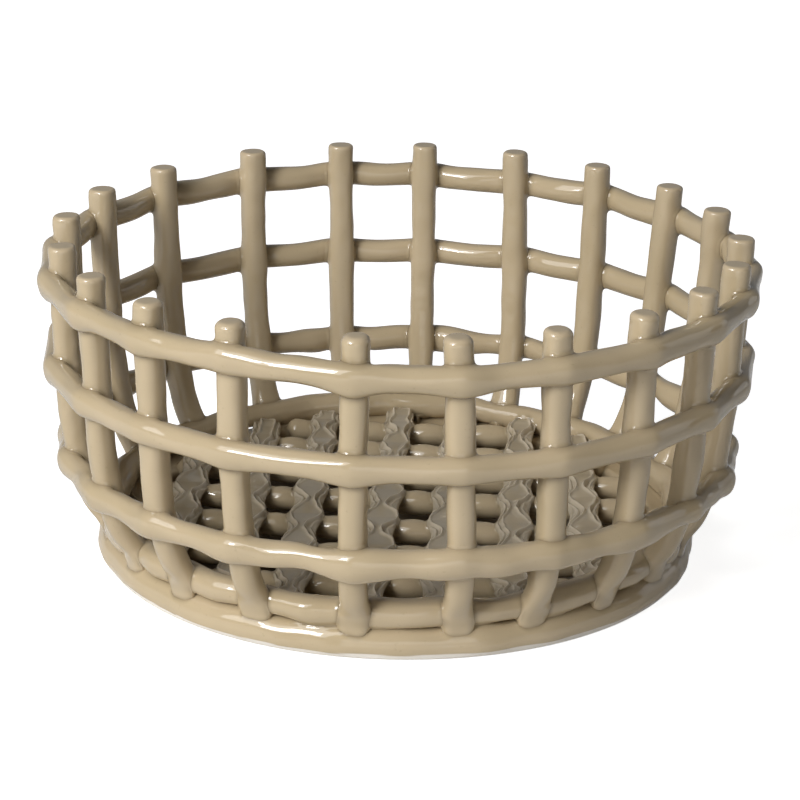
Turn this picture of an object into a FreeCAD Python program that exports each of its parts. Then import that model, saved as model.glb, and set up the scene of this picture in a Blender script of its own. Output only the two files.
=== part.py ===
import FreeCAD, Part
import os
from math import cos, pi, sin, sqrt, tau

# Ceramic basket bowl: coils of clay pressed over upright rods, on a rolled foot ring with a woven floor.
# Millimetres, +Z up. The origin is the middle of the foot, on the surface that the bowl stands on.
# Azimuth runs from +X towards +Y. The first upright stands just left of the front, which is -Y.
# A coil is a flat-sided tube through sections round its path, which keeps the model light.

# Whole bowl
overall_height = 105.0
upright_count = 21
first_upright_azimuth = -1.762
section_sides = 8

# Upright rods: the axis leans in a little all the way down, and bellies in to stand on the foot ring,
# where the rod spreads sideways into a toe
upright_width = 8.7
upright_depth = 8.5
rim_circle_radius = 106.7
toe_set_in = 3.6
toe_height = 11.4
toe_width = 11.2
wall_flare = 3.0
belly_power = 5.0
rim_rounding = 1.1

# Shares of an upright's length at which its curve is drawn
station_shares = (0.0, 0.13, 0.23, 0.35, 0.5, 0.7)

# Outer bands: coils laid round the outside of the uprights and pressed on at each of them
band_thickness = 8.2
band_set_out = 2.6
band_cover = 3.8
band_press_droop = 2.2
band_sag = 0.7
band_press_rise = 0.7
top_band_height = 93.7
middle_band_height = 65.9
lower_band_height = 34.3

# Foot ring: a rolled coil pressed into a slab, with a wiped flat foot
foot_ring_outer_radius = 96.2
foot_ring_width = 15.0
foot_ring_height = 9.8
foot_ring_side_height = 4.6
foot_ring_shoulder = 4.6
foot_ring_inner_rounding = 2.3
foot_outer_inset = 3.4
foot_ring_sides = 40

# Base coil: laid on the foot ring, inside the toes of the uprights
base_coil_thickness = 8.6
base_coil_set_in = 2.0
base_coil_cover = 3.4

# Floor: cross coils from side to side, and straps from front to back pressed down over them
floor_coil_thickness = 7.8
floor_coil_height = 9.6
strap_width = 12.0
strap_waist_width = 7.8
strap_thickness = 3.4
strap_waist_thickness = 6.4
strap_edge_thickness = 2.2
strap_flat_share = 0.85
strap_waist_flat_share = 0.3
strap_dip = 2.2
strap_end_clearance = 0.4

# Shares of one spacing by which each upright stands off an even division, and leans from top to foot
stand_shares = (0.26, 0.08, 0.13, 0.18, 0.16, 0.09, 0.05, 0.00, -0.17, -0.18, -0.10,
                -0.11, -0.11, -0.17, -0.15, -0.16, -0.08, -0.02, 0.05, 0.09, 0.16)
lean_shares = (-0.04, 0.03, 0.0, 0.02, 0.02, 0.0, 0.0, -0.06, 0.0, -0.03, -0.03,
               -0.13, -0.02, 0.2, 0.15, 0.05, -0.03, 0.05, 0.08, 0.1, 0.16)

# Shares of the full press, and of the band's thickness, at each crossing from the first upright on
top_press_shares = (1.0, 0.45, 0.5, 0.7, 0.9, 0.6, 0.4, 0.3, 0.4, 0.3, 0.3,
                    0.4, 0.5, 0.5, 0.6, 0.8, 0.7, 0.6, 0.5, 0.4, 0.7)
top_level_shares = (0.05, 0.22, 0.1, 0.05, 0.0, 0.0, 0.0, 0.0, 0.05, 0.05, 0.0,
                    -0.05, 0.0, -0.05, 0.0, 0.0, 0.0, 0.05, 0.05, 0.05, 0.0)
middle_press_shares = (1.0, 0.6, 0.2, 0.5, 0.8, 0.6, 0.4, 0.3, 0.4, 0.3, 0.4,
                       0.3, 0.5, 0.4, 0.6, 0.7, 0.6, 0.5, 0.4, 0.5, 0.3)
middle_level_shares = (0.08, 0.06, 0.05, 0.05, 0.0, 0.0, 0.05, 0.05, 0.05, 0.05, 0.05,
                       0.05, 0.05, 0.05, 0.05, 0.0, 0.05, 0.05, 0.05, 0.02, 0.0)
lower_press_shares = (1.0, 0.5, 0.4, 0.5, 0.6, 0.5, 0.4, 0.4, 0.3, 0.4, 0.3,
                      0.4, 0.4, 0.5, 0.5, 0.6, 0.5, 0.4, 0.5, 0.4, 0.3)
lower_level_shares = (0.2, 0.18, 0.18, 0.12, 0.12, 0.1, 0.1, 0.1, 0.1, 0.1, 0.1,
                      0.1, 0.1, 0.1, 0.1, 0.1, 0.1, 0.12, 0.2, 0.18, 0.18)

# Shares of the floor's radius at which the cross coils and the straps lie, and how far each slants
cross_shares = (-0.8, -0.5, -0.207, 0.106, 0.401, 0.683, 0.957)
cross_slant_shares = (-0.03, -0.05, -0.08, -0.055, -0.09, -0.12, -0.035)
strap_shares = (-0.835, -0.58, -0.35, -0.045, 0.21, 0.478, 0.745)
strap_slant_shares = (0.03, 0.03, 0.045, 0.055, 0.05, 0.058, 0.02)

spacing = tau / upright_count
up = FreeCAD.Vector(0, 0, 1)
# A flat-sided section is drawn round the circle that it stands for
corner_scale = 1 / cos(pi / section_sides)


def axis_radius(z):
    """Distance of an upright's axis from the bowl's axis at a height."""
    fall = max(overall_height - z, 0) / (overall_height - toe_height)
    belly = rim_circle_radius - wall_flare - (foot_ring_outer_radius - toe_set_in)
    return rim_circle_radius - wall_flare * fall - belly * fall ** belly_power


def upright_azimuth(k, z):
    """Azimuth of upright k at a height: an even division, its own stand and its own lean.

    The uprights run clockwise seen from above, and one past the last is the first a turn later.
    """
    stand = stand_shares[k % len(stand_shares)]
    lean = lean_shares[k % len(lean_shares)] * (overall_height - z) / overall_height
    return first_upright_azimuth + spacing * (stand + lean - k)


def polar(radius, azimuth, z):
    return FreeCAD.Vector(radius * cos(azimuth), radius * sin(azimuth), z)


def section_corners(half_across, half_up, half_down):
    """Corners of a coil's section as pairs, with flat sides that touch its ellipse."""
    corners = []
    for j in range(section_sides):
        angle = pi / 2 + tau * (j + 0.5) / section_sides
        half_height = half_up if sin(angle) > 0 else half_down
        corners.append((half_across * corner_scale * cos(angle), half_height * corner_scale * sin(angle)))
    return corners


def facet(*corners):
    return Part.Face(Part.makePolygon(list(corners) + [corners[0]]))


def skin_between(rings):
    """Facets of a tube that runs through rings of corners in their order."""
    facets = []
    for near, far in zip(rings, rings[1:]):
        for j in range(len(near)):
            facets.append(facet(near[j - 1], near[j], far[j]))
            facets.append(facet(near[j - 1], far[j], far[j - 1]))
    return facets


def solid_from(facets):
    shell = Part.makeShell(facets)
    shell.sewShape()
    solid = Part.makeSolid(shell)
    if solid.Volume < 0:
        solid.reverse()
    return solid


def rod_through(rings):
    """Closed solid through the rings, with a flat face at each end."""
    return solid_from(skin_between(rings) + [facet(*rings[0]), facet(*rings[-1])])


def hoop_through(rings):
    """Closed solid through the rings and back to the first of them."""
    return solid_from(skin_between(rings + rings[:1]))


def make_foot_ring():
    """Slab ring round the bowl's axis: flat foot, full outer side, softly rounded top."""
    outer = foot_ring_outer_radius
    inner = outer - foot_ring_width
    soft = foot_ring_inner_rounding
    outline = [(inner + soft, 0), (outer - foot_outer_inset, 0)]
    for angle in (0, pi / 4, pi / 2):
        fall_in = foot_ring_shoulder * (1 - cos(angle))
        rise = (foot_ring_height - foot_ring_side_height) * sin(angle)
        outline.append((outer - fall_in, foot_ring_side_height + rise))
    outline += [(inner + soft, foot_ring_height), (inner, foot_ring_height - soft), (inner, soft)]
    rings = []
    for j in range(foot_ring_sides):
        rings.append([polar(r, tau * j / foot_ring_sides, z) for r, z in outline])
    return hoop_through(rings)


def upright_ring(k, z, scale, width):
    """Corners of upright k, square to its axis where that axis passes a height."""
    here = polar(axis_radius(z), upright_azimuth(k, z), z)
    above = polar(axis_radius(z + rim_rounding), upright_azimuth(k, z + rim_rounding), z + rim_rounding)
    along = (above - here).normalize()
    sideways = up.cross(here).normalize()
    outward = sideways.cross(along).normalize()
    half = scale * upright_depth / 2
    corners = section_corners(scale * width / 2, half, half)
    return [here + sideways * across + outward * out for across, out in corners]


def make_upright(k, foot_ring):
    """Rod with a rounded rim, whose spread toe is trimmed to the foot ring that it stands on."""
    toe_end = foot_ring_height - upright_depth / 2
    rim_start = overall_height - rim_rounding
    stations = [toe_end + (rim_start - toe_end) * share for share in station_shares]
    rings = [upright_ring(k, toe_end, 1, toe_width)]
    rings += [upright_ring(k, z, 1, upright_width) for z in stations[1:] + [rim_start]]
    rim_scale = 1 - rim_rounding / (upright_width / 2)
    rings.append(upright_ring(k, overall_height, rim_scale, upright_width))
    return rod_through(rings).cut(foot_ring)


def hoop_ring(azimuth, radius, z, half_depth, half_up, half_down):
    corners = section_corners(half_depth, half_up, half_down)
    return [polar(radius + out, azimuth, z + rise) for out, rise in corners]


def make_band(height, press_shares, level_shares, uprights):
    """Coil round the outside: a wide, thin, drooping press over each upright, and free between."""
    half = band_thickness / 2
    post = axis_radius(height)
    free_outer = post + band_set_out + half
    pressed_outer = post + upright_depth / 2 + band_cover
    pressed_half = half - band_press_rise
    rings = []
    for k in range(upright_count):
        here = upright_azimuth(k, height)
        between = (here + upright_azimuth(k + 1, height)) / 2
        share = level_shares[k % len(level_shares)]
        next_share = level_shares[(k + 1) % len(level_shares)]
        level = height + band_thickness * share
        free_level = height + band_thickness * (share + next_share) / 2 - band_sag
        press = press_shares[k % len(press_shares)]
        half_up = half - band_press_rise * press
        half_down = half + band_press_droop * press
        rings.append(hoop_ring(here, pressed_outer - pressed_half, level, pressed_half, half_up, half_down))
        rings.append(hoop_ring(between, free_outer - half, free_level, half, half, half))
    return hoop_through(rings).cut(Part.makeCompound(uprights))


def base_coil_pressed_radius():
    """Distance of the base coil's inner side from the bowl's axis where it covers an upright."""
    post = axis_radius(foot_ring_height + base_coil_thickness / 2)
    return post - upright_depth / 2 - base_coil_cover


def make_base_coil(uprights):
    """Coil on the foot ring, inside the toes: pressed in at each of them, and full between them."""
    half = base_coil_thickness / 2
    z = foot_ring_height + half
    rings = []
    for k in range(upright_count):
        here = upright_azimuth(k, z)
        between = (here + upright_azimuth(k + 1, z)) / 2
        rings.append(hoop_ring(here, base_coil_pressed_radius() + half, z, half, half, half))
        rings.append(hoop_ring(between, axis_radius(z) - base_coil_set_in, z, half, half, half))
    return hoop_through(rings).cut(Part.makeCompound(uprights))


def cross_coil_place(share):
    """Distance of a cross coil from the middle of the floor, towards the back."""
    return share * (foot_ring_outer_radius - foot_ring_width - floor_coil_thickness / 2)


def line_end(y, slant, side):
    """Left to right place where a slanting line, this far back at the middle, meets the foot ring."""
    inner = foot_ring_outer_radius - foot_ring_width
    steep = 1 + slant ** 2
    return (side * sqrt(steep * inner ** 2 - y ** 2) - slant * y) / steep


def make_cross_coil(share, slant):
    """Straight rolled coil from side to side, whose ends are cut to butt against the foot ring."""
    y = cross_coil_place(share)
    half = floor_coil_thickness / 2
    rings = []
    for side in (-1, 1):
        front_end = line_end(y - half, slant, side)
        back_end = line_end(y + half, slant, side)
        ring = []
        for across, rise in section_corners(half, half, half):
            x = (front_end + back_end + (back_end - front_end) * across / half) / 2
            ring.append(FreeCAD.Vector(x, y + slant * x + across, floor_coil_height + rise))
        rings.append(ring)
    return rod_through(rings)


def strap_ring(x, y, underside, width, flat_share, thickness):
    """Corners of a strap: flat below, upright edges, and a bevelled top with a flat middle."""
    foot = width / 2
    flat = foot * flat_share
    edge = underside + strap_edge_thickness
    top = underside + thickness
    outline = ((-foot, underside), (foot, underside), (foot, edge),
               (flat, top), (-flat, top), (-foot, edge))
    return [FreeCAD.Vector(x + across, y, z) for across, z in outline]


def make_strap(share, slant, cross_coils):
    """Strap over the cross coils: wide and thin on each, waisted and thick between them.

    Its ends come down on the foot ring, and are cut round the tip of any coil that they only brush.
    """
    inner = foot_ring_outer_radius - foot_ring_width
    reach = base_coil_pressed_radius() - strap_end_clearance
    middle = share * inner
    half = floor_coil_thickness / 2
    seat = floor_coil_height + half
    seat_half = half * corner_scale * sin(pi / section_sides)
    end = sqrt(reach ** 2 - middle ** 2)
    landing = sqrt(inner ** 2 - middle ** 2)
    crossed, brushed = [], []
    for other, coil_slant, coil in zip(cross_shares, cross_slant_shares, cross_coils):
        place = (cross_coil_place(other) + coil_slant * middle) / (1 - coil_slant * slant)
        if abs(place) < landing:
            crossed.append((place, seat_half + abs(coil_slant) * strap_width / 2))
        else:
            brushed.append(coil)
    on_coil = (seat, strap_width, strap_flat_share, strap_thickness)
    waist = (seat - strap_dip, strap_waist_width, strap_waist_flat_share, strap_waist_thickness)
    tip = (foot_ring_height, strap_waist_width, strap_flat_share, strap_thickness)
    stations = [(-end, *tip)]
    for n, (y, flat_half) in enumerate(crossed):
        if n:
            stations.append(((crossed[n - 1][0] + y) / 2, *waist))
        stations.append((y - flat_half, *on_coil))
        stations.append((y + flat_half, *on_coil))
    stations.append((end, *tip))
    rings = [strap_ring(middle + slant * y, y, *sizes) for y, *sizes in stations]
    strap = rod_through(rings).common(Part.makeCylinder(reach, overall_height))
    return strap.cut(Part.makeCompound(brushed))


def build():
    foot_ring = make_foot_ring()
    uprights = [make_upright(k, foot_ring) for k in range(upright_count)]
    parts = {"foot_ring": foot_ring}
    for k, upright in enumerate(uprights):
        parts["upright_%02d" % (k + 1)] = upright
    parts["base_coil"] = make_base_coil(uprights)
    parts["band_lower"] = make_band(lower_band_height, lower_press_shares, lower_level_shares, uprights)
    parts["band_middle"] = make_band(middle_band_height, middle_press_shares, middle_level_shares, uprights)
    parts["band_top"] = make_band(top_band_height, top_press_shares, top_level_shares, uprights)
    cross_coils = [make_cross_coil(*places) for places in zip(cross_shares, cross_slant_shares)]
    for n, coil in enumerate(cross_coils):
        parts["floor_coil_%02d" % (n + 1)] = coil
    for n, (share, slant) in enumerate(zip(strap_shares, strap_slant_shares)):
        parts["floor_strap_%02d" % (n + 1)] = make_strap(share, slant, cross_coils)
    return parts


def main():
    os.makedirs("parts", exist_ok=True)
    for name, shape in build().items():
        shape.exportStep(os.path.join("parts", name + ".step"))
        print(name, len(shape.Solids), shape.isValid(), round(shape.Volume))


main()
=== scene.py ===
import math
import bpy
import numpy as np
from mathutils import Matrix, Vector
from mathutils.bvhtree import BVHTree


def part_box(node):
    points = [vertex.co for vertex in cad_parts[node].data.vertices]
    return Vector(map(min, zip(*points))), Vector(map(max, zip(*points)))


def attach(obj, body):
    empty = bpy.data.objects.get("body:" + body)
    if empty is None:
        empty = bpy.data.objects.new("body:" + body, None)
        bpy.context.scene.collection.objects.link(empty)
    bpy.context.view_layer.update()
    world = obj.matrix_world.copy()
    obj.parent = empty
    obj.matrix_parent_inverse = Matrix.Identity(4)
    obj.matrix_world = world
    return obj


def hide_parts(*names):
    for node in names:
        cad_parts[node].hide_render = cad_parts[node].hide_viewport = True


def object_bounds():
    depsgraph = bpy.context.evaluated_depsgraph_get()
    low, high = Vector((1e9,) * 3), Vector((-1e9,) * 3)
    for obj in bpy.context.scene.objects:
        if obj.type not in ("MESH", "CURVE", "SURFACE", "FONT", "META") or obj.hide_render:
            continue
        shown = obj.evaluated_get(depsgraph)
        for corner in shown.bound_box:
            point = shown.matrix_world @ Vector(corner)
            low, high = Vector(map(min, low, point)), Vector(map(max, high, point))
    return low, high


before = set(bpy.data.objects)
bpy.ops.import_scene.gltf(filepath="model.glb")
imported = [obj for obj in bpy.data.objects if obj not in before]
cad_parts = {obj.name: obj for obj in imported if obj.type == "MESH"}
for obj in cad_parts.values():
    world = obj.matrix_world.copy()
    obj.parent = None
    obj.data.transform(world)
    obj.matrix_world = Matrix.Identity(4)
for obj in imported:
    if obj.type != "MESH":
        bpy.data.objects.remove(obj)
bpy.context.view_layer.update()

# A basket bowl of glazed clay: uprights on a foot ring, bands pressed round them and a woven floor. Each solid of
# the frame is read for its course and sizes, rolled again as an uneven coil, and glazed.
# Lengths are in millimetres, as a potter would say them, and turn into metres when a mesh is filled in.
MM = 0.001
TAU = 2 * math.pi
UPRIGHTS = sorted(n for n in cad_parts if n.startswith("upright_"))
CROSS_COILS = sorted(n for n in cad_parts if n.startswith("floor_coil_"))
STRAPS = sorted(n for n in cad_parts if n.startswith("floor_strap_"))
BANDS = ["band_lower", "band_middle", "band_top"]


# Reading the frame's solids

def node_triangles(name):
    """Corners of a node's triangles, as an array of (triangle, corner, xyz)."""
    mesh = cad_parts[name].data
    mesh.calc_loop_triangles()
    points = np.empty(len(mesh.vertices) * 3, np.float32)
    mesh.vertices.foreach_get("co", points)
    index = np.empty(len(mesh.loop_triangles) * 3, np.int32)
    mesh.loop_triangles.foreach_get("vertices", index)
    return points.reshape(-1, 3)[index].reshape(-1, 3, 3).astype(float) / MM


def section(triangles, side):
    """Segments where triangles pass the surface on which side, one value per corner, is zero."""
    crossing = (side < 0) != (side[:, (1, 2, 0)] < 0)
    cut = crossing.any(1)
    near, far = side[cut], side[cut][:, (1, 2, 0)]
    start, end = triangles[cut], triangles[cut][:, (1, 2, 0)]
    gap = np.where(near == far, 1, near - far)
    spots = start + (end - start) * (near / gap)[:, :, None]
    first_two = np.argsort(~crossing[cut], axis=1, kind="stable")[:, :2]
    return spots[np.arange(len(spots))[:, None], first_two]


def level_centre(triangles, z):
    """Centre of a node's outline at a height."""
    segments = section(triangles, triangles[:, :, 2] - z)
    weight = np.linalg.norm(segments[:, 0] - segments[:, 1], axis=1)
    return (segments.mean(1) * weight[:, None]).sum(0) / weight.sum()


def azimuth_section(triangles, azimuth):
    """Distance from the bowl's axis and height of a node's outline at an azimuth."""
    ahead = np.array([math.cos(azimuth), math.sin(azimuth), 0])
    left = np.array([-math.sin(azimuth), math.cos(azimuth), 0])
    spots = section(triangles, triangles @ left).reshape(-1, 3)
    spots = spots[spots @ ahead > 0]
    return spots @ ahead, spots[:, 2]


# Uneven hand work

def unevenness(points, size, seed):
    """Smooth value from about -1 to 1 at each point, with hills about this size across."""
    rng = np.random.default_rng(seed)
    total = np.zeros(len(points))
    for _ in range(7):
        direction = rng.normal(size=3)
        direction /= np.linalg.norm(direction)
        wave = TAU / (size * rng.uniform(1.4, 3.2))
        total += np.sin(points @ direction * wave + rng.uniform(0, TAU))
    return total / 3


def smooth_step(value, low, high):
    t = np.clip((value - low) / (high - low), 0, 1)
    return t * t * (3 - 2 * t)


def hill(distance, width):
    """1 where there is no distance, and less on both sides of it."""
    return np.exp(-(distance / width) ** 2)


def squared_off(value, power):
    """A value from -1 to 1, pushed towards its two ends by a power below 1."""
    return np.sign(value) * np.abs(value) ** power


# Coils, rolled along a path by one tree of nodes

def make_coil_tree():
    tree = bpy.data.node_groups.new("coil rolled along a path", "GeometryNodeTree")
    sockets = tree.interface
    sockets.new_socket("Path", in_out="INPUT", socket_type="NodeSocketGeometry")
    sockets.new_socket("Sides", in_out="INPUT", socket_type="NodeSocketInt")
    sockets.new_socket("Closed End", in_out="INPUT", socket_type="NodeSocketBool")
    sockets.new_socket("Glaze", in_out="INPUT", socket_type="NodeSocketMaterial")
    sockets.new_socket("Coil", in_out="OUTPUT", socket_type="NodeSocketGeometry")
    new, link = tree.nodes.new, tree.links.new
    given, result = new("NodeGroupInput"), new("NodeGroupOutput")
    curve = new("GeometryNodeMeshToCurve")
    circle = new("GeometryNodeCurvePrimitiveCircle")
    circle.inputs["Radius"].default_value = 1
    half = new("GeometryNodeInputNamedAttribute")
    half.data_type = "FLOAT"
    half.inputs["Name"].default_value = "half"
    skin = new("GeometryNodeCurveToMesh")
    smooth = new("GeometryNodeSetShadeSmooth")
    real = new("GeometryNodeRealizeInstances")
    glaze = new("GeometryNodeSetMaterial")
    link(given.outputs["Path"], curve.inputs["Mesh"])
    link(given.outputs["Sides"], circle.inputs["Resolution"])
    link(curve.outputs[0], skin.inputs["Curve"])
    link(circle.outputs["Curve"], skin.inputs["Profile Curve"])
    link(half.outputs["Attribute"], skin.inputs["Scale"])
    link(given.outputs["Closed End"], skin.inputs["Fill Caps"])
    link(skin.outputs[0], smooth.inputs["Geometry"])
    link(smooth.outputs[0], real.inputs["Geometry"])
    link(real.outputs[0], glaze.inputs["Geometry"])
    link(given.outputs["Glaze"], glaze.inputs["Material"])
    link(glaze.outputs[0], result.inputs[0])
    return tree


coil_tree = make_coil_tree()


fineness = 1


def roll_coil(name, path, half, sides, closed, material):
    """Coil of this half width as a plain mesh, and the step of the path that each of its points belongs to."""
    count = len(path)
    line = bpy.data.meshes.new(name + "_path")
    ends = [(n, n + 1) for n in range(count - 1)] + ([(count - 1, 0)] if closed else [])
    line.from_pydata([tuple(p) for p in path * MM], ends, [])
    write_attribute(line, "half", half * MM)
    write_attribute(line, "step", np.arange(count))
    holder = bpy.data.objects.new(name + "_path", line)
    bpy.context.scene.collection.objects.link(holder)
    modifier = holder.modifiers.new("coil", "NODES")
    modifier.node_group = coil_tree
    sockets = {s.name: s.identifier for s in coil_tree.interface.items_tree if s.in_out == "INPUT"}
    modifier[sockets["Sides"]] = sides // fineness
    modifier[sockets["Closed End"]] = not closed
    modifier[sockets["Glaze"]] = material
    ready = holder.evaluated_get(bpy.context.evaluated_depsgraph_get())
    mesh = bpy.data.meshes.new_from_object(ready)
    bpy.data.objects.remove(holder)
    bpy.data.meshes.remove(line)
    mesh.name = name
    piece = bpy.data.objects.new(name, mesh)
    bpy.context.scene.collection.objects.link(piece)
    step = np.empty(len(mesh.vertices), np.float32)
    mesh.attributes["step"].data.foreach_get("value", step)
    for label in ("half", "step"):
        mesh.attributes.remove(mesh.attributes[label])
    return piece, step.round().astype(int)


def write_attribute(mesh, label, values):
    mesh.attributes.new(label, "FLOAT", "POINT").data.foreach_set("value", values.astype(np.float32))


def read_points(piece):
    points = np.empty(len(piece.data.vertices) * 3, np.float32)
    piece.data.vertices.foreach_get("co", points)
    return points.reshape(-1, 3).astype(float) / MM


def write_points(piece, points):
    piece.data.vertices.foreach_set("co", (points * MM).astype(np.float32).ravel())
    piece.data.update()


def read_normals(piece):
    normals = np.empty(len(piece.data.vertices) * 3, np.float32)
    piece.data.vertex_normals.foreach_get("vector", normals)
    return normals.reshape(-1, 3).astype(float)


def make_outward(piece, outward):
    """Turns the faces over if they point in. outward has the direction away from the path at each point."""
    if (read_normals(piece) * outward).sum() < 0:
        piece.data.flip_normals()


def unit(vectors):
    return vectors / np.linalg.norm(vectors, axis=-1, keepdims=True)


# The glaze and the bare foot

# Linear colours of the glaze where it is full, deep and thin, and of the unglazed clay
BODY = (0.505, 0.405, 0.258)
POOLED = (0.26, 0.20, 0.115)
THIN = (0.59, 0.475, 0.32)
STRAP_BODY = (0.43, 0.36, 0.25)
STRAP_THIN = (0.72, 0.63, 0.49)
WIPED_CLAY = (0.88, 0.84, 0.78)
GLAZE_IOR = 1.58
COIL_GLOSS = 0.045
STRAP_GLOSS = 0.04
CLAY_ROUGHNESS = 0.7
# The fine waves in the gloss: their scale, and the strength and the depth in metres of their bump
COIL_PEEL = (420, 0.12, 0.0002)
STRAP_PEEL = (300, 0.2, 0.0003)
CLOUD_SCALE = 24
SPECK_SCALE = 900


def mix_colour(tree, first, second, share):
    mix = tree.nodes.new("ShaderNodeMix")
    mix.data_type = "RGBA"
    tree.links.new(share, mix.inputs["Factor"])
    tree.links.new(first, mix.inputs[6])
    tree.links.new(second, mix.inputs[7])
    return mix.outputs[2]


def map_range(tree, value, low, high, to_low, to_high):
    node = tree.nodes.new("ShaderNodeMapRange")
    tree.links.new(value, node.inputs["Value"])
    for label, number in (("From Min", low), ("From Max", high), ("To Min", to_low), ("To Max", to_high)):
        node.inputs[label].default_value = number
    return node.outputs["Result"]


def plain_colour(tree, colour):
    node = tree.nodes.new("ShaderNodeRGB")
    node.outputs[0].default_value = (*colour, 1)
    return node.outputs[0]


def combine(tree, operation, first, second):
    node = tree.nodes.new("ShaderNodeMath")
    node.operation = operation
    tree.links.new(first, node.inputs[0])
    tree.links.new(second, node.inputs[1])
    return node.outputs[0]


def make_glaze_group():
    """Colour, roughness and fine height of a runny glaze: thin on edges, pooled in creases, softly clouded."""
    group = bpy.data.node_groups.new("runny glaze", "ShaderNodeTree")
    for name in ("Body Colour", "Pooled Colour", "Thin Colour"):
        group.interface.new_socket(name, in_out="INPUT", socket_type="NodeSocketColor")
    for name in ("Cloud Scale", "Peel Scale", "Gloss Roughness"):
        group.interface.new_socket(name, in_out="INPUT", socket_type="NodeSocketFloat")
    for name, kind in (("Colour", "NodeSocketColor"), ("Roughness", "NodeSocketFloat"), ("Height", "NodeSocketFloat")):
        group.interface.new_socket(name, in_out="OUTPUT", socket_type=kind)
    new, link = group.nodes.new, group.links.new
    given, result = new("NodeGroupInput"), new("NodeGroupOutput")
    body, pooled, thinned = (given.outputs[name + " Colour"] for name in ("Body", "Pooled", "Thin"))
    place = new("ShaderNodeTexCoord")
    pool, thin = new("ShaderNodeAttribute"), new("ShaderNodeAttribute")
    pool.attribute_name, thin.attribute_name = "pool", "thin"
    clouds, peel, specks = new("ShaderNodeTexNoise"), new("ShaderNodeTexNoise"), new("ShaderNodeTexNoise")
    clouds.inputs["Detail"].default_value = 2
    peel.inputs["Detail"].default_value = 1
    specks.inputs["Detail"].default_value = 2
    specks.inputs["Scale"].default_value = SPECK_SCALE
    for noise in (clouds, peel, specks):
        link(place.outputs["Object"], noise.inputs["Vector"])
    link(given.outputs["Cloud Scale"], clouds.inputs["Scale"])
    link(given.outputs["Peel Scale"], peel.inputs["Scale"])
    deep = mix_colour(group, body, pooled, pool.outputs["Fac"])
    clouded = mix_colour(group, deep, thinned, map_range(group, clouds.outputs["Fac"], 0.35, 0.7, 0.0, 0.45))
    edged = mix_colour(group, clouded, thinned, thin.outputs["Fac"])
    final = mix_colour(group, edged, pooled, map_range(group, specks.outputs["Fac"], 0.66, 0.78, 0.0, 0.18))
    hazier = map_range(group, clouds.outputs["Fac"], 0.3, 0.8, 0.0, 0.03)
    link(final, result.inputs["Colour"])
    link(combine(group, "ADD", given.outputs["Gloss Roughness"], hazier), result.inputs["Roughness"])
    link(peel.outputs["Fac"], result.inputs["Height"])
    return group


glaze_group = make_glaze_group()


def glazed(name, body, thin, gloss, peel, bare_foot=False):
    material = bpy.data.materials.new(name)
    material.use_nodes = True
    tree = material.node_tree
    shader = tree.nodes["Principled BSDF"]
    shader.inputs["IOR"].default_value = GLAZE_IOR
    effect = tree.nodes.new("ShaderNodeGroup")
    effect.node_tree = glaze_group
    for label, colour in (("Body Colour", body), ("Pooled Colour", POOLED), ("Thin Colour", thin)):
        effect.inputs[label].default_value = (*colour, 1)
    scale, strength, depth = peel
    for label, number in (("Cloud Scale", CLOUD_SCALE), ("Peel Scale", scale), ("Gloss Roughness", gloss)):
        effect.inputs[label].default_value = number
    bump = tree.nodes.new("ShaderNodeBump")
    bump.inputs["Strength"].default_value = strength
    bump.inputs["Distance"].default_value = depth
    tree.links.new(effect.outputs["Height"], bump.inputs["Height"])
    tree.links.new(bump.outputs["Normal"], shader.inputs["Normal"])
    colour, roughness = effect.outputs["Colour"], effect.outputs["Roughness"]
    if bare_foot:
        wiped = tree.nodes.new("ShaderNodeAttribute")
        wiped.attribute_name = "wiped"
        colour = mix_colour(tree, colour, plain_colour(tree, WIPED_CLAY), wiped.outputs["Fac"])
        dull = tree.nodes.new("ShaderNodeMix")
        tree.links.new(wiped.outputs["Fac"], dull.inputs["Factor"])
        tree.links.new(roughness, dull.inputs[2])
        dull.inputs[3].default_value = CLAY_ROUGHNESS
        roughness = dull.outputs[0]
    tree.links.new(colour, shader.inputs["Base Color"])
    tree.links.new(roughness, shader.inputs["Roughness"])
    return material


coil_glaze = glazed("beige glaze on coils", BODY, THIN, COIL_GLOSS, COIL_PEEL)
strap_glaze = glazed("beige glaze on carved straps", STRAP_BODY, STRAP_THIN, STRAP_GLOSS, STRAP_PEEL)
foot_glaze = glazed("beige glaze above a wiped foot", BODY, THIN, COIL_GLOSS, COIL_PEEL, bare_foot=True)

# The finished pieces by name, and how far the glaze draws thin at each point of those that have sharp edges
pieces, edges = {}, {}


def add_piece(name, piece, outward):
    make_outward(piece, outward)
    pieces[name] = piece


# Upright rods

ROD_SIDES = 56
ROD_HALF_WIDTH = 4.32
ROD_HALF_DEPTH = 4.25
# Heights at which a rod's middle is read, clear of the levels where its solid bends
AXIS_HEIGHTS = np.array([11, 15, 18.3, 23, 28.2, 34, 40, 47, 54.7, 64, 74.4, 85, 95, 103])
MIDDLE_HEIGHT = 50
NEAR_TOP = 100
# Numbers of rows in the ring, at the toe's tip, in the rest of the toe and above it, and where the last two begin
ROWS_IN_RING, ROWS_AT_TIP, ROWS_IN_TOE, ROWS_ABOVE = 5, 32, 44, 150
TOE_ROWS_START, UPPER_ROWS_START = 10, 24
LEAST_STEP = 0.05
# The toe goes on a little inside the foot ring, and its flat tongue ends on top of it
TOE_END = 5.0
TOE_TIP = 8.9
TONGUE_HEIGHT, TONGUE_ROUNDNESS, TONGUE_LEAST = 5.2, 2.6, 0.12
# Share by which the toe is wider than the rod, and the height from which that goes down
TOE_SPREAD = 0.3
TOE_WIDEST = 9.5
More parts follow.
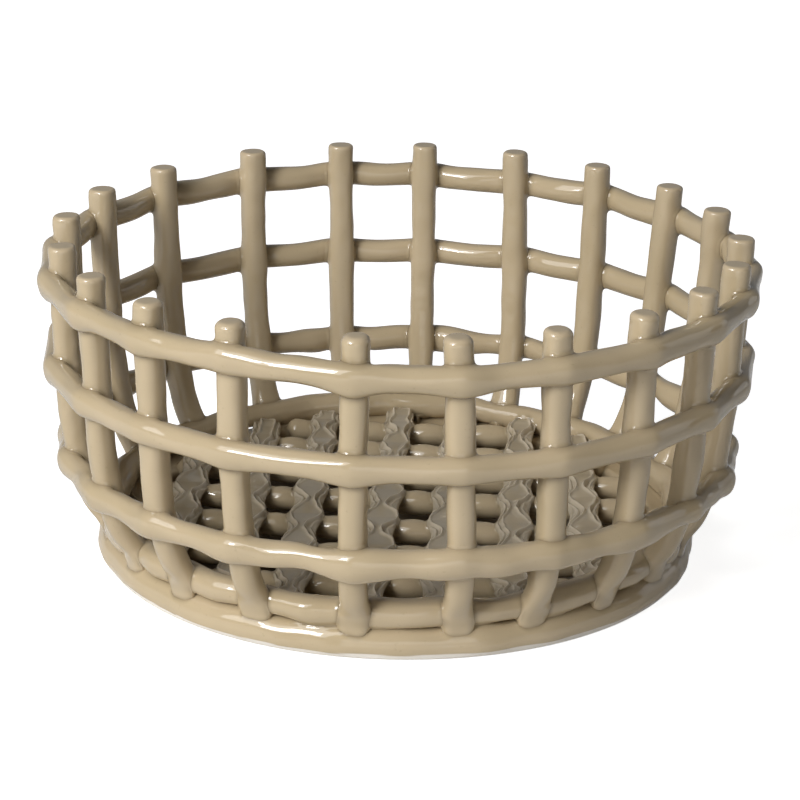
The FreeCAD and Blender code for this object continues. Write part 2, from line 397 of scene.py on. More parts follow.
# Height, length and depth of the hollow that the toe's face goes in to, and of the lip that stands out below it
TOE_HOLLOW = (15.2, 4.8, 1.3)
TOE_LIP = (8.2, 2.7, 1.2)
TOE_EDGE_HEIGHT, TOE_EDGE_ROUNDING, TOE_ROOT_INSET = 1.1, 1.5, 2.6
RAISED_EDGE = 0.22
# Share and length by which a rod is fuller at its rim and under each band
RIM_FLARE, RIM_FLARE_LENGTH = 0.018, 2.2
BAND_SWELL, BAND_SWELL_LENGTH = 0.055, 4.5
TOP_ROUNDING = 1.0
FRONT_TOP_ROUNDING = 0.9
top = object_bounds()[1][2] / MM


def rod_axis(name):
    """Polynomials of height that give a rod's distance from the bowl's axis and its azimuth."""
    triangles = node_triangles(name)
    centres = np.array([level_centre(triangles, z) for z in AXIS_HEIGHTS])
    radius = np.polyfit(AXIS_HEIGHTS - MIDDLE_HEIGHT, np.hypot(centres[:, 0], centres[:, 1]), 5)
    azimuth = np.unwrap(np.arctan2(centres[:, 1], centres[:, 0]))
    return radius, np.polyfit(AXIS_HEIGHTS - MIDDLE_HEIGHT, azimuth, 1)


def rod_azimuth(axis, z):
    return np.polyval(axis[1], z - MIDDLE_HEIGHT)


def rod_place(axis, z):
    radius, azimuth = np.polyval(axis[0], z - MIDDLE_HEIGHT), rod_azimuth(axis, z)
    return np.stack([radius * np.cos(azimuth), radius * np.sin(azimuth), z + 0 * radius], -1)


def mid_height(name):
    low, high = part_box(name)
    return (low[2] + high[2]) / 2 / MM


band_heights = [mid_height(name) for name in BANDS]


def rod_rows(rounding):
    """Heights of a rod's rows, how far each is drawn in at the rounded top, and the number of rows up there."""
    body = np.concatenate([np.linspace(TOE_END, TOE_TIP - 0.5, ROWS_IN_RING),
                           np.linspace(TOE_TIP - 0.3, TOE_ROWS_START, ROWS_AT_TIP // fineness)[:-1],
                           np.linspace(TOE_ROWS_START, UPPER_ROWS_START, ROWS_IN_TOE // fineness)[:-1],
                           np.linspace(UPPER_ROWS_START, top - rounding, ROWS_ABOVE // fineness)])
    turn = np.linspace(0, math.pi / 2, 7)[1:]
    heights = np.concatenate([body, top - rounding * (1 - np.sin(turn)), [top, top]])
    inset = np.concatenate([0 * body, rounding * (1 - np.cos(turn)), [rounding + 0.9, 3.4]])
    return heights, inset, len(turn) + 2


def tongue_width(heights):
    """Share of its full width that a toe has at each height, which goes round its end like a tongue's."""
    share = np.clip((heights - TOE_TIP) / TONGUE_HEIGHT, 0, 1)
    return np.maximum((1 - (1 - share) ** TONGUE_ROUNDNESS) ** (1 / TONGUE_ROUNDNESS), TONGUE_LEAST)


def toe_inset(heights):
    """How far a rod's outer face goes in at each height: a hollow, a lip, a rounded edge and the root."""
    inset = 0 * heights
    for sign, (level, length, depth) in ((1, TOE_HOLLOW), (-1, TOE_LIP)):
        inset += sign * depth * hill(heights - level, length)
    above_tip = np.clip((heights - TOE_TIP) / TOE_EDGE_HEIGHT, 0, 1)
    inset += TOE_EDGE_ROUNDING * (1 - np.sqrt(1 - (1 - above_tip) ** 2))
    return inset + TOE_ROOT_INSET * smooth_step(TOE_TIP + 0.1 - heights, 0, 0.5)


def make_rod(name, seed):
    axis = rod_axis(name)
    rng = np.random.default_rng(seed)
    # The tops at the front are rounder than those at the back
    faces_front = smooth_step(-math.sin(rod_azimuth(axis, NEAR_TOP)), 0.5, 0.9)
    rounding = TOP_ROUNDING + FRONT_TOP_ROUNDING * faces_front + rng.uniform(0, 0.3)
    heights, inset, cap = rod_rows(rounding)
    path = rod_place(axis, heights)
    ahead = np.gradient(path, axis=0)
    ahead[-cap - 1:] = ahead[-cap - 2]
    sideways = unit(np.cross(np.array([0, 0, 1.0]), path * (1, 1, 0)))
    outward = unit(np.cross(sideways, unit(ahead)))
    flare = 1 + RIM_FLARE * hill(top - RIM_FLARE_LENGTH - heights, RIM_FLARE_LENGTH)
    # The toe is a flat tongue with a round end that stands on the ring, and only its root lies inside
    spread = 1 - smooth_step(heights, TOE_WIDEST, rng.uniform(20, 25))
    tip = tongue_width(heights)
    swell = BAND_SWELL * sum(hill(heights - z, BAND_SWELL_LENGTH) for z in band_heights)
    full = 0.97 + swell + 0.02 * np.sin(heights / rng.uniform(7, 11) + rng.uniform(0, TAU))
    full[-cap - 1:] = full[-cap - 2]
    half_width = ROD_HALF_WIDTH * flare * full * (1 + TOE_SPREAD * spread) * tip - inset
    half_depth = ROD_HALF_DEPTH * flare - inset
    pressed = toe_inset(heights)
    skew = rng.uniform(-0.6, 1.0)
    veer = rng.uniform(-0.9, 0.7) * (1 - smooth_step(heights, 8, 16)) * tip
    # The tree of nodes needs rows that don't meet, so those of the rounded top are rolled apart and moved back
    guide = path.copy()
    guide[:, 2] = np.concatenate([heights[:-cap], heights[-cap] + LEAST_STEP * np.arange(cap)])
    piece, step = roll_coil(name, guide, half_width, ROD_SIDES, False, coil_glaze)
    offset = (read_points(piece) - guide[step]) / half_width[step][:, None]
    across, out = (offset * sideways[step]).sum(1), (offset * outward[step]).sum(1)
    size = np.hypot(across, out)
    across, out = across / size, out / size
    flat = spread[step] * (out > 0)
    square = 0.15 - 0.05 * smooth_step(heights, top - 5, top - 1)[step]
    wide = squared_off(across, 1 - square - 0.22 * flat)
    deep = squared_off(out, 1 - square - 0.30 * flat)
    shift = -pressed[step] * np.clip(out, 0, 1) ** 0.5 + skew * flat * across * 0.8
    points = path[step] + sideways[step] * (wide * half_width[step] + veer[step])[:, None]
    points += outward[step] * (deep * half_depth[step] + shift)[:, None]
    rim = np.maximum(hill(np.abs(across) - 0.92, 0.06), hill(heights[step] - TOE_TIP - 0.5, 0.35))
    edge = flat * rim * smooth_step(19 - heights[step], 0, 6)
    bump = 0.22 * unevenness(points, 10, seed) + 0.06 * unevenness(points, 3.4, seed + 50)
    away = sideways[step] * across[:, None] + outward[step] * out[:, None]
    calm = np.clip((top - points[:, 2]) / 3, 0.0, 1)
    points += away * (bump * calm)[:, None] + outward[step] * (RAISED_EDGE * edge)[:, None]
    points[:, 2] = np.minimum(points[:, 2], top)
    write_points(piece, points)
    add_piece(name, piece, away)
    edges[name] = edge
    return axis


rod_axes = [make_rod(name, 10 + n) for n, name in enumerate(UPRIGHTS)]


# Bands and base coil: hoops that the rods press

BAND_SIDES, BAND_ROWS = 64, 1240
BASE_SIDES, BASE_ROWS = 56, 1080
# How much thinner half a band is where it lies over a rod, and how far its middle droops there
BAND_PRESS = 0.7
BAND_DROOP = 0.5
# Half the length, as a share of half a gap, over which a band bends at a rod
BEND_SHARE = 0.13
# Height of the lumps that fingers left on each hoop, and of the streaks along it
BAND_LUMPS = {"band_lower": 0.50, "band_middle": 0.08, "band_top": 0.24}
BASE_LUMPS = 0.55
STREAK_HEIGHT = 0.05
STREAK_WIDTH = 1.5
# Rolled this much thinner, so that the lumps stay inside the solid's outline
LUMP_ROOM = 0.15


def crossings(z):
    """Azimuths of the rods at a height, in order round the bowl and rising."""
    found = np.unwrap(np.array([rod_azimuth(axis, z) for axis in rod_axes]))
    return found[::-1] if found[-1] < found[0] else found


def hoop_profile(name, z):
    """Outer side, inner side, top and underside of a hoop at each crossing and midway to the next."""
    triangles = node_triangles(name)
    at = crossings(z)
    middle = (at + np.append(at[1:], at[0] + TAU)) / 2
    rows = []
    for azimuth in np.stack([at, middle], 1).ravel():
        far, rise = azimuth_section(triangles, azimuth)
        rows.append((far.max(), far.min(), rise.max(), rise.min()))
    return at, middle, np.array(rows).reshape(-1, 2, 4)


def round_the_hoop(azimuths, at, middle, values, sharpness=None):
    """Value at each azimuth, easing from the crossing's to the middle's, and the crossing's share in it.

    values has the crossing's and the middle's value in a row for each rod. With no sharpness the length between
    two rods is straight, and bends only over each rod.
    """
    turned = (azimuths - at[0]) % TAU + at[0]
    near = np.searchsorted(np.append(at, at[0] + TAU), turned, side="right") - 1
    share = (turned - at[near]) / (middle[near] - at[near])
    before = share < 1
    nearest = np.where(before, near, (near + 1) % len(at))
    t = np.where(before, share, 2 - share)
    if sharpness is None:
        soft = (np.hypot(t, BEND_SHARE) - BEND_SHARE) / (math.hypot(1, BEND_SHARE) - BEND_SHARE)
        weight = np.clip(1 - soft, 0, 1) ** 2
    else:
        weight = (0.5 + 0.5 * np.cos(math.pi * np.clip(t, 0, 1))) ** sharpness
    return values[near, 1] * (1 - weight) + values[nearest, 0] * weight, weight


def band_course(azimuths, at, middle, rows, free_half):
    """A band's half depth, middle radius, level, top and underside: pressed thinner and lower over each rod."""
    outer, weight = round_the_hoop(azimuths, at, middle, rows[:, :, 0])
    upper, _ = round_the_hoop(azimuths, at, middle, rows[:, :, 2], 1.0)
    under, droop = round_the_hoop(azimuths, at, middle, rows[:, :, 3], 1.7)
    half_depth = free_half - BAND_PRESS * weight
    return half_depth, outer - half_depth, upper - free_half + BAND_DROOP * droop, upper, under


def base_course(azimuths, at, middle, rows, free_half):
    """The same for the base coil, which stays full and is only pushed in by each rod's toe."""
    inner, _ = round_the_hoop(azimuths, at, middle, rows[:, :, 1], 0.8)
    upper, _ = round_the_hoop(azimuths, at, middle, rows[:, [1, 1], 2], 1.0)
    under, _ = round_the_hoop(azimuths, at, middle, rows[:, [1, 1], 3], 1.0)
    half_depth = free_half + 0 * inner
    return half_depth, inner + half_depth, (upper + under) / 2, upper, under


def make_hoop(name, course, sides, rows_round, lumps, seed):
    at, middle, rows = hoop_profile(name, mid_height(name))
    azimuths = np.linspace(0, TAU, rows_round // fineness, endpoint=False)
    free_half = float(np.median(rows[:, 1, 2] - rows[:, 1, 3])) / 2
    half_depth, centre, level, upper, under = course(azimuths, at, middle, rows, free_half)
    path = np.stack([centre * np.cos(azimuths), centre * np.sin(azimuths), level], -1)
    piece, step = roll_coil(name, path, half_depth, sides, True, coil_glaze)
    outward = np.stack([np.cos(azimuths), np.sin(azimuths), 0 * azimuths], -1)[step]
    offset = read_points(piece) - path[step]
    out, rise = (offset * outward).sum(1), offset[:, 2]
    size = np.hypot(out, rise)
    out, rise = squared_off(out / size, 0.86), rise / size
    half_rise = np.where(rise > 0, (upper - level)[step], (level - under)[step])
    points = path[step] + outward * (out * half_depth[step])[:, None]
    points[:, 2] = level[step] + rise * half_rise
    away = outward * out[:, None] + np.array([0, 0, 1]) * rise[:, None]
    bump = lumps * (unevenness(points, 13, seed) + 0.6 * unevenness(points, 7, seed + 50))
    # Measured round the hoop in a shorter unit, the same hills turn into streaks along it
    x, y, z = points.T
    along = np.stack([np.hypot(x, y), z, 12 * np.arctan2(y, x)], -1)
    bump += STREAK_HEIGHT * unevenness(along, STREAK_WIDTH, seed + 70) - LUMP_ROOM
    points += away * bump[:, None]
    write_points(piece, points)
    add_piece(name, piece, away)


for n, name in enumerate(BANDS):
    make_hoop(name, band_course, BAND_SIDES, BAND_ROWS, BAND_LUMPS[name], 100 + n)
make_hoop("base_coil", base_course, BASE_SIDES, BASE_ROWS, BASE_LUMPS, 110)


# Foot ring: a pressed roll with a wiped flat foot

RING_SIDES, RING_ROWS = 88, 900
RING_GUIDE_HALF = 3
# Width and height of the rounding at each corner of the section
OUTER_SHOULDER = (4.6, 5.2)
INNER_SHOULDER = (2.6, 2.6)
INNER_FOOT = (2.3, 2.3)
OUTER_FOOT = (2.7, 4.4)
WIPED_HEIGHT = 2.2
GLAZE_THICKNESS = 0.14


def ring_outline(share, outer, inner, height):
    """Distance from the axis and height at a share of the way round the foot ring's section."""
    corners = []
    for quarter, (wide, tall) in enumerate((OUTER_SHOULDER, INNER_SHOULDER, INNER_FOOT, OUTER_FOOT)):
        x = outer - wide if quarter in (0, 3) else inner + wide
        z = height - tall if quarter in (0, 1) else tall
        for angle in np.linspace(quarter / 4, quarter / 4 + 0.25, 24) * TAU:
            corners.append((x + wide * math.cos(angle), z + tall * math.sin(angle)))
    corners = np.array(corners + corners[:1])
    lengths = np.append(0, np.cumsum(np.linalg.norm(np.diff(corners, axis=0), axis=1)))
    lengths /= lengths[-1]
    return np.interp(share, lengths, corners[:, 0]), np.interp(share, lengths, corners[:, 1])


def make_foot_ring():
    low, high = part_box("foot_ring")
    outer, height = high[0] / MM, high[2] / MM
    # Read just off the +X direction, so that the cut misses the solid's corners
    far, _ = azimuth_section(node_triangles("foot_ring"), 0.01)
    inner = far.min()
    middle = (outer + inner) / 2
    azimuths = np.linspace(0, TAU, RING_ROWS // fineness, endpoint=False)
    path = np.stack([middle * np.cos(azimuths), middle * np.sin(azimuths), 0 * azimuths + height / 2], -1)
    half = 0 * azimuths + RING_GUIDE_HALF
    piece, step = roll_coil("foot_ring", path, half, RING_SIDES, True, foot_glaze)
    outward = np.stack([np.cos(azimuths), np.sin(azimuths), 0 * azimuths], -1)[step]
    offset = read_points(piece) - path[step]
    angle = np.arctan2(offset[:, 2], (offset * outward).sum(1))
    radius, z = ring_outline((angle / TAU) % 1, outer, inner, height)
    points = outward * radius[:, None]
    points[:, 2] = z
    away = offset / RING_GUIDE_HALF
    calm = smooth_step(z, 0.2, 2.0)
    bump = 0.3 * unevenness(points, 12, 7) + 0.16 * unevenness(points, 6, 8)
    points += away * (bump * calm)[:, None]
    wiped_to = WIPED_HEIGHT + 0.3 * unevenness(points, 9, 9)
    wiped = 1 - smooth_step(points[:, 2], wiped_to - 0.12, wiped_to + 0.12)
    # The glaze stands a little proud of the wiped clay
    glaze = GLAZE_THICKNESS * (1 - wiped) * (points[:, 2] < height / 2)
    points += away * (glaze - GLAZE_THICKNESS)[:, None]
    write_points(piece, points)
    write_attribute(piece.data, "wiped", wiped)
    add_piece("foot_ring", piece, away)


make_foot_ring()


# Floor: cross coils with straps pressed down over them

COIL_SIDES, COIL_ROW_GAP = 44, 0.5
# A cross coil is rolled a little full, and is this much thinner and lower under a strap
COIL_FULLNESS = 1.04
COIL_PRESS = 0.28
COIL_SINK = 0.14
COIL_END = 3.5
PRESS_HALF_WIDTH = 6.4


def floor_line(name, along):
    """A floor piece's middle as a line over x (along 0) or y (along 1), its two ends, its height and half height."""
    triangles = node_triangles(name)
    corners = triangles.reshape(-1, 3)
    low, high = corners.min(0), corners.max(0)
    places = np.linspace(low[along], high[along], 9)[1:-1] * 0.9
    middles = []
    for place in places:
        spots = section(triangles, triangles[:, :, along] - place).reshape(-1, 3)[:, 1 - along]
        middles.append((spots.min() + spots.max()) / 2)
    line = np.polyfit(places, middles, 1)
    return line, low[along], high[along], (low[2] + high[2]) / 2, (high[2] - low[2]) / 2


coil_lines = [floor_line(name, 0) for name in CROSS_COILS]
strap_lines = [floor_line(name, 1) for name in STRAPS]


def meeting(coil, strap):
    """Place to the right and to the back where a strap passes over a cross coil."""
    y = np.polyval(coil[0], 0)
    for _ in range(4):
        x = np.polyval(strap[0], y)
        y = np.polyval(coil[0], x)
    return x, y


def passes_over(strap, y):
    """Whether a strap is still whole at this place to the back, clear of its ends."""
    return strap[1] + 3 < y < strap[2] - 3


def make_cross_coil(name, coil, seed):
    """Rolled coil whose round ends and free lengths stand full, and which sinks in under each strap."""
    line, low, high, z, half = coil
    xs = np.linspace(low, high, int((high - low) / COIL_ROW_GAP) // fineness)
    pressed = np.zeros(len(xs))
    for strap in strap_lines:
        x, y = meeting(coil, strap)
        if passes_over(strap, y):
            pressed = np.maximum(pressed, np.exp(-(np.abs(xs - x) / PRESS_HALF_WIDTH) ** 3.2))
    end = np.minimum(xs - low, high - xs)
    cap = np.sqrt(np.clip(1 - (1 - np.clip(end / COIL_END, 0, 1)) ** 2, 0.04, 1))
    radius = half * COIL_FULLNESS * (1 - COIL_PRESS * pressed) * cap
    bow = 0.35 * np.sin(xs / 15 + seed) * cap
    path = np.stack([xs, np.polyval(line, xs) + bow, z - COIL_SINK * half * pressed], -1)
    piece, step = roll_coil(name, path, radius, COIL_SIDES, False, coil_glaze)
    points = read_points(piece)
    away = (points - path[step]) / radius[step][:, None]
    bump = 0.13 * unevenness(points, 9, seed) + 0.04 * unevenness(points, 3, seed + 1)
    points += away * (bump * cap[step])[:, None]
    write_points(piece, points)
    add_piece(name, piece, away)


for n, name in enumerate(CROSS_COILS):
    make_cross_coil(name, coil_lines[n], 200 + 3 * n)


STRAP_SIDES, STRAP_ROW_GAP = 104, 0.45
# Half widths of a strap and of the facet along its top: at the waist, how much more over a cross coil, and how
# much less of that at the back
STRAP_HALF, STRAP_MORE, STRAP_LESS = 4.6, 1.35, 0.6
FACET_HALF, FACET_MORE, FACET_LESS = 1.15, 3.9, 0.9
FAR_NARROWING = 0.08
END_WIDTH_SHARE = 0.72
LAST_STRAP_HALF, LAST_FACET_HALF = 4.9, 2.6
ROUND_END = 3.2
# Heights on a strap, from the top of the cross coils up or from the facet down
FACET_RISE = 0.6
ARCH_RISE = 0.5
RIM_DROP = 0.45
STRAP_DEPTH = 2.6
WAIST_DEPTH = 1.2
END_CLIMB = 1.1
RING_TOP_LEVEL = 9.7
# Places, out from the facet's edge, of the ridge, the groove and the outer ridge in the glaze
GROOVE, OUTER_RIDGE = 0.95, 1.85


def strap_widths(ys, end, spread, last_crest):
    """Half widths of a strap and of the facet along its top, and how round its end still is, from 0 to 1."""
    far = smooth_step(ys, 0, 70)
    last = smooth_step(ys, last_crest - 4, last_crest + 4)
    narrowing = (1 - FAR_NARROWING * far) * (END_WIDTH_SHARE + (1 - END_WIDTH_SHARE) * smooth_step(end, 0, 5))
    outer = (STRAP_HALF + (STRAP_MORE - STRAP_LESS * far) * spread) * narrowing
    facet = (FACET_HALF + (FACET_MORE - FACET_LESS * far) * spread) * narrowing
    outer += (LAST_STRAP_HALF - outer) * last
    facet += (LAST_FACET_HALF - facet) * last
    tip = np.sqrt(1 - (np.clip(ROUND_END - end, 0, ROUND_END - 0.1) / ROUND_END) ** 2)
    return outer * (0.3 + 0.7 * tip), facet * tip, tip


def strap_levels(end, arc):
    """Heights of a strap's facet, of its rim and of its underside, which comes down on the ring at each end."""
    crest_top = coil_lines[0][3] + coil_lines[0][4] + FACET_RISE
    fall = 1 - smooth_step(end, 0, 5)
    climb = END_CLIMB * (1 - smooth_step(end, 1, 7))
    facet_top = crest_top + ARCH_RISE * arc - 0.7 * fall + climb
    rim_top = crest_top - RIM_DROP - 0.3 * arc - 0.8 * fall + 0.7 * climb
    under = crest_top - STRAP_DEPTH - WAIST_DEPTH * arc
    landing = smooth_step(end, 2, 13)
    return facet_top, rim_top, under * landing + (1 - landing) * np.minimum(under, RING_TOP_LEVEL)


def make_strap(name, strap, seed):
    """Pressed strap: a thin flange on each cross coil, a waist between, and a dished facet along its top."""
    line, front, back, _, _ = strap
    ys = np.linspace(front, back, int((back - front) / STRAP_ROW_GAP) // fineness)
    crests = [y for y in (meeting(coil, strap)[1] for coil in coil_lines) if passes_over(strap, y)]
    turns = np.array([front - 1.5] + crests + [back + 1.5])
    rng = np.random.default_rng(seed)
    # share goes from 0 to 1 between two crests, and arc from 0 on a crest to 1 at the waist
    shift = np.concatenate([[0], rng.uniform(-0.05, 0.05, len(turns))])
    near = np.clip(np.searchsorted(turns, ys, side="right"), 1, len(turns) - 1)
    share = np.clip((ys - turns[near - 1]) / (turns[near] - turns[near - 1]), 0, 1)
    arc = np.sin(math.pi * np.clip(share + shift[near] * np.sin(math.pi * share), 0, 1))
    spread = 0.3 * (1 - arc) ** 0.85 + 0.7 * np.cos(math.pi * share) ** 2
    end = np.minimum(ys - front, back - ys)
    outer, facet, tip = strap_widths(ys, end, spread, crests[-1])
    left, right = (np.interp(ys, turns, rng.uniform(0.8, 1.16, len(turns))) for _ in range(2))
    bend = rng.uniform(-1.1, 1.1, len(turns) + 1)[near] * arc
    facet_top, rim_top, under = strap_levels(end, arc)
    path = np.stack([np.polyval(line, ys), ys, (facet_top + under) / 2], -1)
    path[:, 0] += 0.25 * np.sin(ys / 9 + seed)
    piece, step = roll_coil(name, path, outer, STRAP_SIDES, False, strap_glaze)
    offset = read_points(piece) - path[step]
    across, rise = offset[:, 0], offset[:, 2]
    angle = np.arctan2(rise, across)
    u = np.clip(np.where(angle >= 0, 1 - 2 * angle / math.pi, 1 + 2 * angle / math.pi), -1, 1)
    # Each of the strap's points by its place across it, and by its distance out from the facet's wavy edge
    x = u * outer[step]
    from_ridge = x - bend[step] * (1 - u ** 2)
    edge_marks = np.stack([6 * np.sign(from_ridge), ys[step], 0 * x], -1)
    reach = facet[step] * np.where(from_ridge > 0, right[step], left[step])
    reach = np.minimum(reach + 0.3 * tip[step] * unevenness(edge_marks, 2.6, seed + 3), outer[step] - 0.7)
    beyond = np.abs(from_ridge) - reach
    slope = np.clip(beyond / (outer[step] - reach), 0, 1)
    on_flank = slope < 1
    crown = facet_top[step] + (rim_top - facet_top)[step] * slope ** 0.8
    ridges = 0.55 * hill(beyond, 0.5) - 0.4 * hill(beyond - GROOVE, 0.45)
    ridges += 0.38 * hill(beyond - OUTER_RIDGE, 0.46) * on_flank
    crown += ridges * tip[step] * (1 + 0.5 * unevenness(edge_marks, 3.5, seed + 4))
    crown -= 0.30 * np.clip(1 - (from_ridge / np.maximum(reach, 0.5)) ** 2, 0, 1) * arc[step]
    marks = np.stack([x, ys[step] * 0.55, 0 * x], -1)
    waves = 1 - 2 * np.abs(np.sin(math.pi * beyond / 1.5 + 1.6 * unevenness(marks, 3.4, seed)))
    rough = 0.10 * waves + 0.22 * unevenness(marks, 2.8, seed + 1)
    crown += rough * smooth_step(slope, 0.10, 0.35) * on_flank
    crown -= 0.55 * smooth_step(np.abs(u), 1 - 0.7 / outer[step], 1) ** 2
    lower = under[step] + (rim_top - 0.55 - under)[step] * np.abs(u) ** 8
    z = np.where(rise >= 0, np.maximum(crown, lower + 0.05), lower)
    write_points(piece, np.stack([path[step][:, 0] + x, path[step][:, 1], z], -1))
    add_piece(name, piece, unit(np.stack([0.3 * across, 0 * across, rise], -1)))
    lines = hill(beyond, 0.45) + 0.7 * hill(beyond - OUTER_RIDGE, 0.42) * on_flank
    edges[name] = np.clip(lines, 0, 1) * (rise >= 0)


for n, name in enumerate(STRAPS):
    make_strap(name, strap_lines[n], 300 + 5 * n)


# Glaze runs into the creases where pieces meet

# Size of the fillet between an upright and each kind of piece, and between any others
UPRIGHT_FILLETS = {"band": 1.9, "base": 1.1, "foot": 0.8}
FILLET = 1.5
# How far from a neighbour the glaze still lies deep, in fillets
POOL_REACH = 1.6
# How far inside a neighbour a point is still moved, in fillets
INNER_REACH = 0.3


def skin_tree(piece):
    points = read_points(piece)
    return BVHTree.FromPolygons([tuple(p) for p in points], [tuple(f.vertices) for f in piece.data.polygons])


def nearness(tree, points, limit):
    """Signed distance to a skin at each point, positive outside, and the direction away from it."""
    far = np.full(len(points), limit)
    away = np.zeros((len(points), 3))
    for n, p in enumerate(points.tolist()):
        spot, normal, _, distance = tree.find_nearest(p, limit)
        if spot is None:
            continue
        side = 1 if (Vector(p) - spot).dot(normal) > 0 else -1
        far[n] = side * distance
        away[n] = normal
    return far, away


def neighbours(name):
    """Pieces that this one meets."""
    if name.startswith("upright"):
        return BANDS + ["base_coil", "foot_ring"]
    if name in BANDS:
        return UPRIGHTS
    if name == "base_coil":
        return UPRIGHTS + ["foot_ring"] + STRAPS
    if name == "foot_ring":
        return UPRIGHTS + ["base_coil"] + CROSS_COILS
    if name.startswith("floor_coil"):
        return STRAPS + ["foot_ring"]
    return CROSS_COILS + ["base_coil"]


def fillet_between(name, other):
    kinds = {name.split("_")[0], other.split("_")[0]}
    if "upright" not in kinds:
        return FILLET
    return UPRIGHT_FILLETS[(kinds - {"upright"}).pop()]


def crease_fill(name, points, normals):
    """Points on the joined skin of a piece and its neighbours, with a share that says how deep the glaze lies."""
    start = points.copy()
    pool = np.zeros(len(points))
    for other in neighbours(name):
        fillet = fillet_between(name, other)
        reach = fillet * POOL_REACH
        low, high = boxes[other]
        close = np.where(((start > low - reach) & (start < high + reach)).all(1))[0]
        if not len(close):
            continue
        first, _ = nearness(trees[other], start[close], reach)
        near = np.abs(first) < reach
        close, first = close[near], first[near]
        pool[close] = np.maximum(pool[close], (1 - np.abs(first) / reach) ** 2)
        keep = (first < fillet) & (first > -INNER_REACH * fillet)
        close, first = close[keep], first[keep]
        fade = smooth_step(first, -INNER_REACH * fillet, 0.05 * fillet)
        # Each point steps towards the smooth union of its own skin and the neighbour's
        spot = points[close].copy()
        for _ in range(3):
            mine = ((spot - start[close]) * normals[close]).sum(1)
            theirs, away = nearness(trees[other], spot, fillet)
            touch = np.clip(fillet - np.abs(mine - theirs), 0, None) / fillet
            value = np.minimum(mine, theirs) - touch ** 2 * fillet / 4
            weight = np.clip(0.5 + 0.5 * (theirs - mine) / fillet, 0, 1)[:, None]
            slope = weight * normals[close] + (1 - weight) * away
            steep = np.clip((slope ** 2).sum(1), 0.25, None)
            spot -= slope * (0.9 * value / steep)[:, None]
        points[close] += (spot - points[close]) * fade[:, None]
    return points, pool


trees = {name: skin_tree(piece) for name, piece in pieces.items()}
boxes = {name: (read_points(piece).min(0), read_points(piece).max(0)) for name, piece in pieces.items()}
for name, piece in pieces.items():
    points, pool = crease_fill(name, read_points(piece), read_normals(piece))
    write_points(piece, points)
    thin = 0.7 * edges.get(name, 0 * pool)
    if name.startswith("upright"):
        thin = thin + 0.8 * hill(top - 0.5 - points[:, 2], 0.8)
    write_attribute(piece.data, "pool", pool)
    write_attribute(piece.data, "thin", thin)

for name, piece in pieces.items():
    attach(piece, "root")
    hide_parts(name)


# Floor, lights and camera, in metres

FLOOR_HALF = 6.0
FLOOR_SHADE = (0.74, 0.73, 0.71)
# Dark brown painted onto the floor inside the foot ring as the shadow under the bowl
PAINTED_SHADOW_UNDER_BOWL = (0.20, 0.165, 0.12)
# Radii between which the painted shadow on the floor under the bowl's open bottom turns into the pale floor
UNDER_BOWL, PAST_BOWL = 0.084, 0.093
# How bright the floor and the backdrop look to the camera and in the glaze
FLOOR_SEEN, FLOOR_MIRRORED = 0.88, 0.25
BACKDROP_MIRRORED = 0.25
WORLD_STRENGTH = 0.015
LAMP_DISTANCE = 2.0
LAMP_AIM_HEIGHT = 0.06


def make_floor():
    mesh = bpy.data.meshes.new("studio_floor")
    corners = [(x * FLOOR_HALF, y * FLOOR_HALF, 0) for x, y in ((-1, -1), (1, -1), (1, 1), (-1, 1))]
    mesh.from_pydata(corners, [], [(0, 1, 2, 3)])
    floor = bpy.data.objects.new("studio_floor", mesh)
    bpy.context.scene.collection.objects.link(floor)
    material = bpy.data.materials.new("pale studio floor")
    material.use_nodes = True
    tree = material.node_tree
    shader = tree.nodes["Principled BSDF"]
    shader.inputs["Roughness"].default_value = 0.9
    shader.inputs["Specular IOR Level"].default_value = 0.0
    shader.inputs["Emission Color"].default_value = (1, 1, 1, 1)
    path = tree.nodes.new("ShaderNodeLightPath")
    place = tree.nodes.new("ShaderNodeTexCoord")
    radius = tree.nodes.new("ShaderNodeVectorMath")
    radius.operation = "LENGTH"
    tree.links.new(place.outputs["Object"], radius.inputs[0])
    # The floor inside the foot ring is painted dark brown as the shadow under the bowl, and gets no lift
    open_floor = map_range(tree, radius.outputs["Value"], UNDER_BOWL, PAST_BOWL, 0.0, 1.0)
    under, shade = plain_colour(tree, PAINTED_SHADOW_UNDER_BOWL), plain_colour(tree, FLOOR_SHADE)
    tree.links.new(mix_colour(tree, under, shade, open_floor), shader.inputs["Base Color"])
    seen = map_range(tree, path.outputs["Is Camera Ray"], 0.0, 1.0, 0.0, FLOOR_SEEN)
    mirrored = map_range(tree, path.outputs["Is Glossy Ray"], 0.0, 1.0, 0.0, FLOOR_MIRRORED)
    lift = combine(tree, "MULTIPLY", combine(tree, "MAXIMUM", seen, mirrored), open_floor)
    tree.links.new(lift, shader.inputs["Emission Strength"])
    mesh.materials.append(material)


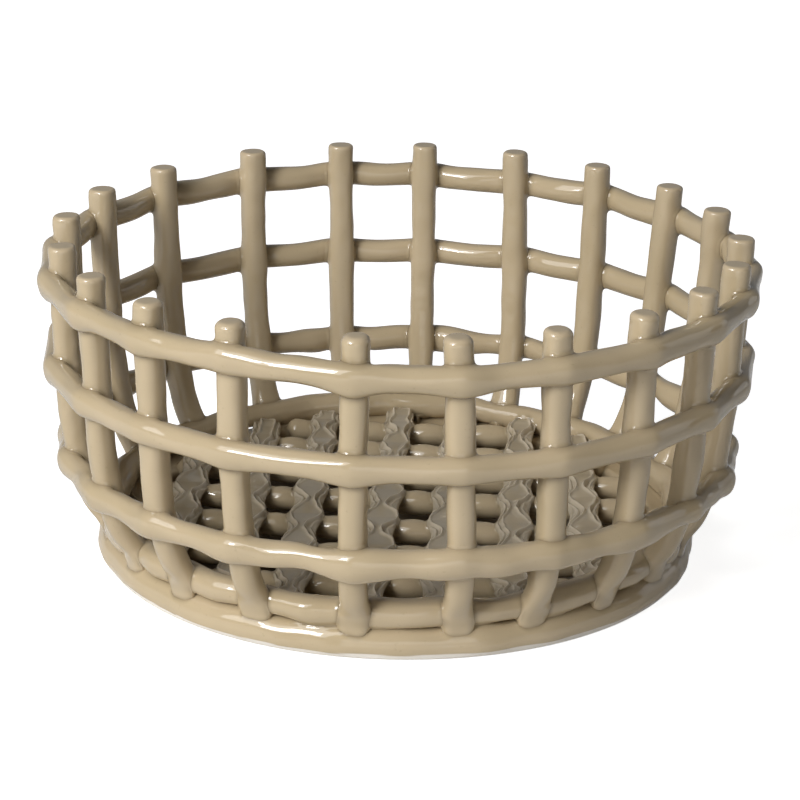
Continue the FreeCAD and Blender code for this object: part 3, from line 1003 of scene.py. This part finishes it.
def make_world():
    world = bpy.data.worlds.new("studio")
    world.use_nodes = True
    tree = world.node_tree
    background = tree.nodes["Background"]
    path = tree.nodes.new("ShaderNodeLightPath")
    # The backdrop stands behind the bowl, so only what faces it reflects white
    place, parts = tree.nodes.new("ShaderNodeTexCoord"), tree.nodes.new("ShaderNodeSeparateXYZ")
    tree.links.new(place.outputs["Generated"], parts.inputs[0])
    backdrop = map_range(tree, parts.outputs["Y"], 0.15, 0.75, 0.0, BACKDROP_MIRRORED)
    mirrored = combine(tree, "MULTIPLY", path.outputs["Is Glossy Ray"], backdrop)
    white = combine(tree, "MAXIMUM", path.outputs["Is Camera Ray"], mirrored)
    strength = tree.nodes.new("ShaderNodeMix")
    tree.links.new(white, strength.inputs["Factor"])
    strength.inputs[2].default_value = WORLD_STRENGTH
    strength.inputs[3].default_value = 1.0
    tree.links.new(strength.outputs[0], background.inputs["Strength"])
    background.inputs["Color"].default_value = (1, 1, 1, 1)
    bpy.context.scene.world = world


def soft_box(name, azimuth, elevation, width, height, watts):
    """Rectangular lamp that faces the bowl. Azimuth is to the right of the front, seen from above."""
    light = bpy.data.lights.new(name, "AREA")
    light.shape = "RECTANGLE"
    light.size, light.size_y = width, height
    light.energy = watts
    lamp = bpy.data.objects.new(name, light)
    bpy.context.scene.collection.objects.link(lamp)
    a, e = math.radians(azimuth), math.radians(elevation)
    place = Vector((math.sin(a) * math.cos(e), -math.cos(a) * math.cos(e), math.sin(e))) * LAMP_DISTANCE
    lamp.location = place + Vector((0, 0, LAMP_AIM_HEIGHT))
    lamp.rotation_euler = (-place).to_track_quat("-Z", "Y").to_euler()


# The camera stands and looks as the photo's did
CAMERA_PLACE = Vector((0.005, -875.40, 359.75))
CAMERA_AHEAD = Vector((0.000636, 0.942113, -0.335296))
CAMERA_ROLL = 1.1053
CAMERA_SENSOR = 36
CAMERA_LENS = 130.5


def make_camera():
    camera = bpy.data.objects.new("camera", bpy.data.cameras.new("camera"))
    bpy.context.scene.collection.objects.link(camera)
    camera.data.sensor_width = CAMERA_SENSOR
    camera.data.lens = CAMERA_LENS
    camera.data.clip_end = 50
    ahead = CAMERA_AHEAD.normalized()
    right = ahead.cross(Vector((0, 0, 1))).normalized()
    up = right.cross(ahead)
    roll = math.radians(CAMERA_ROLL)
    image_right = math.cos(roll) * right + math.sin(roll) * up
    image_up = -math.sin(roll) * right + math.cos(roll) * up
    turn = Matrix((image_right, image_up, -ahead)).transposed()
    camera.matrix_world = Matrix.Translation(CAMERA_PLACE * MM) @ turn.to_4x4()
    bpy.context.scene.camera = camera


make_floor()
make_world()
soft_box("front_left_box", -37, 28, 0.5, 0.7, 18)
soft_box("high_left_panel", -46, 36, 1.5, 1.5, 25)
soft_box("low_front_panel", 5, 6, 1.4, 0.8, 4.5)
soft_box("right_fill", 112, 12, 1.0, 1.0, 2.2)
make_camera()
bpy.context.scene.view_settings.view_transform = "Standard"
